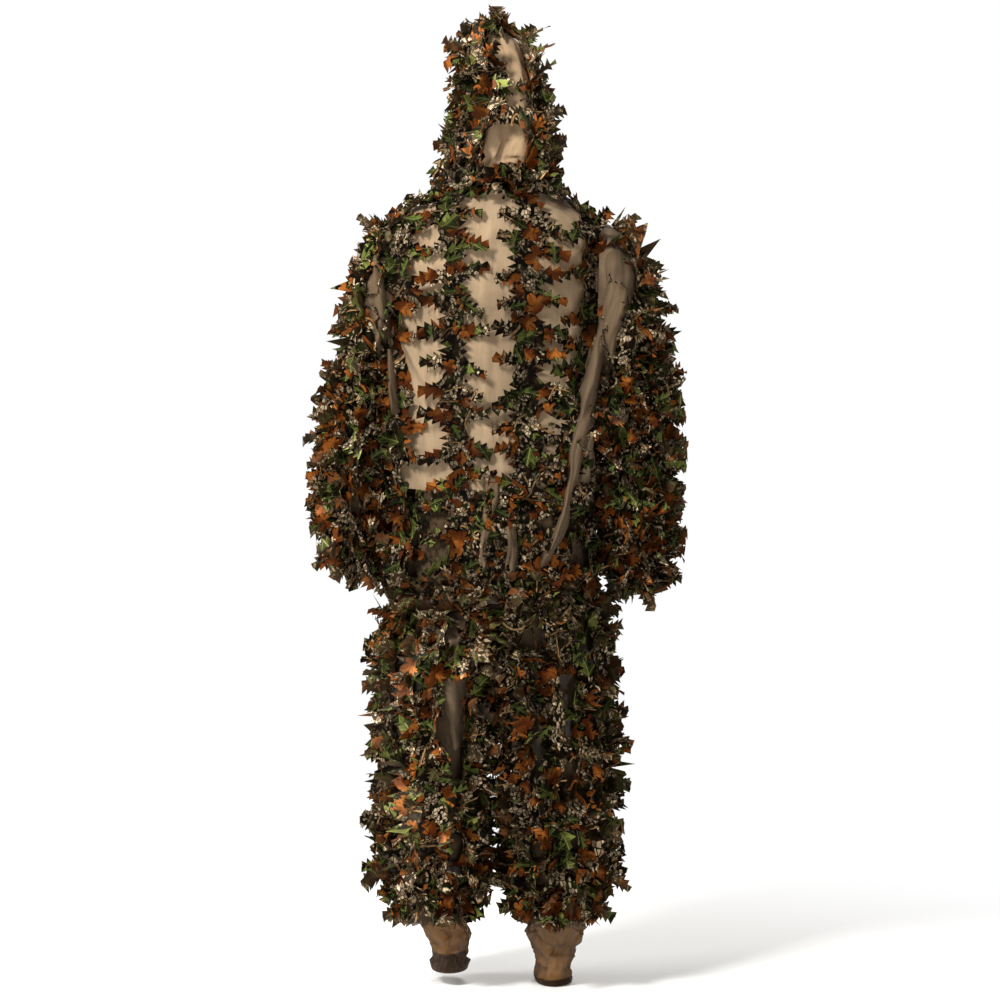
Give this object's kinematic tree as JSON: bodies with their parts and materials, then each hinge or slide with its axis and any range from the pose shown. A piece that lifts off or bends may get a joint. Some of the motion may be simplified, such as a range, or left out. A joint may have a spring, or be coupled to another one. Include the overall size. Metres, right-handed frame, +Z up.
{
  "type": "ghillie suit",
  "caption": "Two-piece leafy ghillie suit: hooded sheer-mesh jacket with a front zip and matching loose trousers, covered in lobed camouflage leaf strips.",
  "frame": {"origin": "on the floor, below the middle of the suit's overall box", "axes": "+Z up; the wearer faces -Y; +X is the wearer's left"},
  "size_m": [0.6667, 0.3212, 1.769],
  "materials": {
    "sheer_mesh": "sheer woven mesh",
    "leaf_cloth": "printed camouflage cloth, cut into lobes",
    "elastic": "ribbed elastic band",
    "binding": "woven tape",
    "cord": "braided cord",
    "lock_plastic": "moulded, satin",
    "zip_metal": "antiqued, satin"
  },
  "bodies": {
    "trousers": {"trousers_seat_left": "sheer_mesh", "trousers_seat_right": "sheer_mesh", "waistband_elastic": "elastic", "waist_drawcord": "cord"},
    "waist_lock": {"waist_cord_lock": "lock_plastic"},
    "waist_lock_button": {"waist_cord_lock_button": "lock_plastic"},
    "jacket": {"jacket_back_panel": "sheer_mesh", "jacket_front_left": "sheer_mesh", "jacket_front_right": "sheer_mesh", "jacket_hem_elastic": "elastic", "hood_collar": "sheer_mesh", "zip_tape_left": "binding", "zip_tape_right": "binding", "zip_chain": "zip_metal", "hang_loop": "binding", "back_leaf_strip_1": "leaf_cloth", "back_leaf_strip_2": "leaf_cloth", "back_leaf_strip_3": "leaf_cloth", "back_leaf_strip_4": "leaf_cloth", "front_leaf_strip_1": "leaf_cloth", "front_leaf_strip_2": "leaf_cloth", "front_leaf_strip_3": "leaf_cloth", "front_leaf_strip_4": "leaf_cloth", "hood_cord_tail_left": "cord", "hood_cord_tail_right": "cord"},
    "hood": {"hood_left_panel": "sheer_mesh", "hood_right_panel": "sheer_mesh", "hood_face_binding": "binding", "hood_drawcord": "cord", "hood_leaf_strip_1": "leaf_cloth", "hood_leaf_strip_2": "leaf_cloth", "hood_leaf_strip_3": "leaf_cloth"},
    "zip_slider": {"zip_slider": "zip_metal"},
    "zip_pull": {"zip_pull": "zip_metal"},
    "hood_lock_left": {"hood_cord_lock_left": "lock_plastic"},
    "hood_lock_left_button": {"hood_cord_lock_left_button": "lock_plastic"},
    "left_upper_arm": {"left_upper_sleeve": "sheer_mesh", "left_upper_sleeve_leaves": "leaf_cloth"},
    "left_forearm": {"left_forearm_sleeve": "sheer_mesh", "left_forearm_sleeve_leaves": "leaf_cloth", "left_cuff_elastic": "elastic"},
    "left_thigh": {"left_thigh_leg": "sheer_mesh", "left_thigh_leaves": "leaf_cloth"},
    "left_shin": {"left_shin_leg": "sheer_mesh", "left_shin_leaves": "leaf_cloth", "left_ankle_elastic": "elastic", "left_leg_end": "sheer_mesh"},
    "hood_lock_right": {"hood_cord_lock_right": "lock_plastic"},
    "hood_lock_right_button": {"hood_cord_lock_right_button": "lock_plastic"},
    "right_upper_arm": {"right_upper_sleeve": "sheer_mesh", "right_upper_sleeve_leaves": "leaf_cloth"},
    "right_forearm": {"right_forearm_sleeve": "sheer_mesh", "right_forearm_sleeve_leaves": "leaf_cloth", "right_cuff_elastic": "elastic"},
    "right_thigh": {"right_thigh_leg": "sheer_mesh", "right_thigh_leaves": "leaf_cloth"},
    "right_shin": {"right_shin_leg": "sheer_mesh", "right_shin_leaves": "leaf_cloth", "right_ankle_elastic": "elastic", "right_leg_end": "sheer_mesh"}
  },
  "joints": [
    {"name": "jacket_lift", "type": "slide", "parent": "trousers", "child": "jacket", "axis": [0, 0, 1], "range_m": [0, 0.3]},
    {"name": "hood_tip", "type": "hinge", "parent": "jacket", "child": "hood", "pos_m": [0, 0.06, 1.52], "axis": [-1, 0, 0], "range_deg": [0, 34]},
    {"name": "zip_run", "type": "slide", "parent": "jacket", "child": "zip_slider", "axis": [0, 0, -1], "range_m": [0, 0.58]},
    {"name": "zip_pull_swing", "type": "hinge", "parent": "zip_slider", "child": "zip_pull", "pos_m": [0, -0.1406, 1.337], "axis": [-1, 0, 0], "range_deg": [0, 110]},
    {"name": "waist_lock_slide", "type": "slide", "parent": "trousers", "child": "waist_lock", "axis": [0, 0, 1], "range_m": [-0.02, 0.02]},
    {"name": "waist_button_press", "type": "slide", "parent": "waist_lock", "child": "waist_lock_button", "axis": [-1, 0, 0], "range_m": [0, 0.003], "stiffness_N_per_m": 400},
    {"name": "left_shoulder_raise", "type": "hinge", "parent": "jacket", "child": "left_upper_arm", "pos_m": [0.207, 0.005, 1.403], "axis": [0, -1, 0], "range_deg": [0, 80]},
    {"name": "left_elbow_bend", "type": "hinge", "parent": "left_upper_arm", "child": "left_forearm", "pos_m": [0.256, 0.003, 1.048], "axis": [-1, 0, 0], "range_deg": [0, 58]},
    {"name": "left_hip_swing", "type": "hinge", "parent": "trousers", "child": "left_thigh", "pos_m": [0.101, 0, 0.64], "axis": [-1, 0, 0], "range_deg": [-12, 35]},
    {"name": "left_knee_bend", "type": "hinge", "parent": "left_thigh", "child": "left_shin", "pos_m": [0.111, 0, 0.43], "axis": [1, 0, 0], "range_deg": [0, 50]},
    {"name": "hood_lock_left_slide", "type": "slide", "parent": "jacket", "child": "hood_lock_left", "axis": [0, 0, 1], "range_m": [-0.012, 0.02]},
    {"name": "hood_lock_left_button_press", "type": "slide", "parent": "hood_lock_left", "child": "hood_lock_left_button", "axis": [-1, 0, 0], "range_m": [0, 0.003], "stiffness_N_per_m": 400},
    {"name": "right_shoulder_raise", "type": "hinge", "parent": "jacket", "child": "right_upper_arm", "pos_m": [-0.207, 0.005, 1.403], "axis": [0, 1, 0], "range_deg": [0, 80]},
    {"name": "right_elbow_bend", "type": "hinge", "parent": "right_upper_arm", "child": "right_forearm", "pos_m": [-0.256, 0.003, 1.048], "axis": [-1, 0, 0], "range_deg": [0, 58]},
    {"name": "right_hip_swing", "type": "hinge", "parent": "trousers", "child": "right_thigh", "pos_m": [-0.101, 0, 0.64], "axis": [-1, 0, 0], "range_deg": [-12, 35]},
    {"name": "right_knee_bend", "type": "hinge", "parent": "right_thigh", "child": "right_shin", "pos_m": [-0.111, 0, 0.43], "axis": [1, 0, 0], "range_deg": [0, 50]},
    {"name": "hood_lock_right_slide", "type": "slide", "parent": "jacket", "child": "hood_lock_right", "axis": [0, 0, 1], "range_m": [-0.012, 0.02]},
    {"name": "hood_lock_right_button_press", "type": "slide", "parent": "hood_lock_right", "child": "hood_lock_right_button", "axis": [1, 0, 0], "range_m": [0, 0.003], "stiffness_N_per_m": 400}
  ]
}
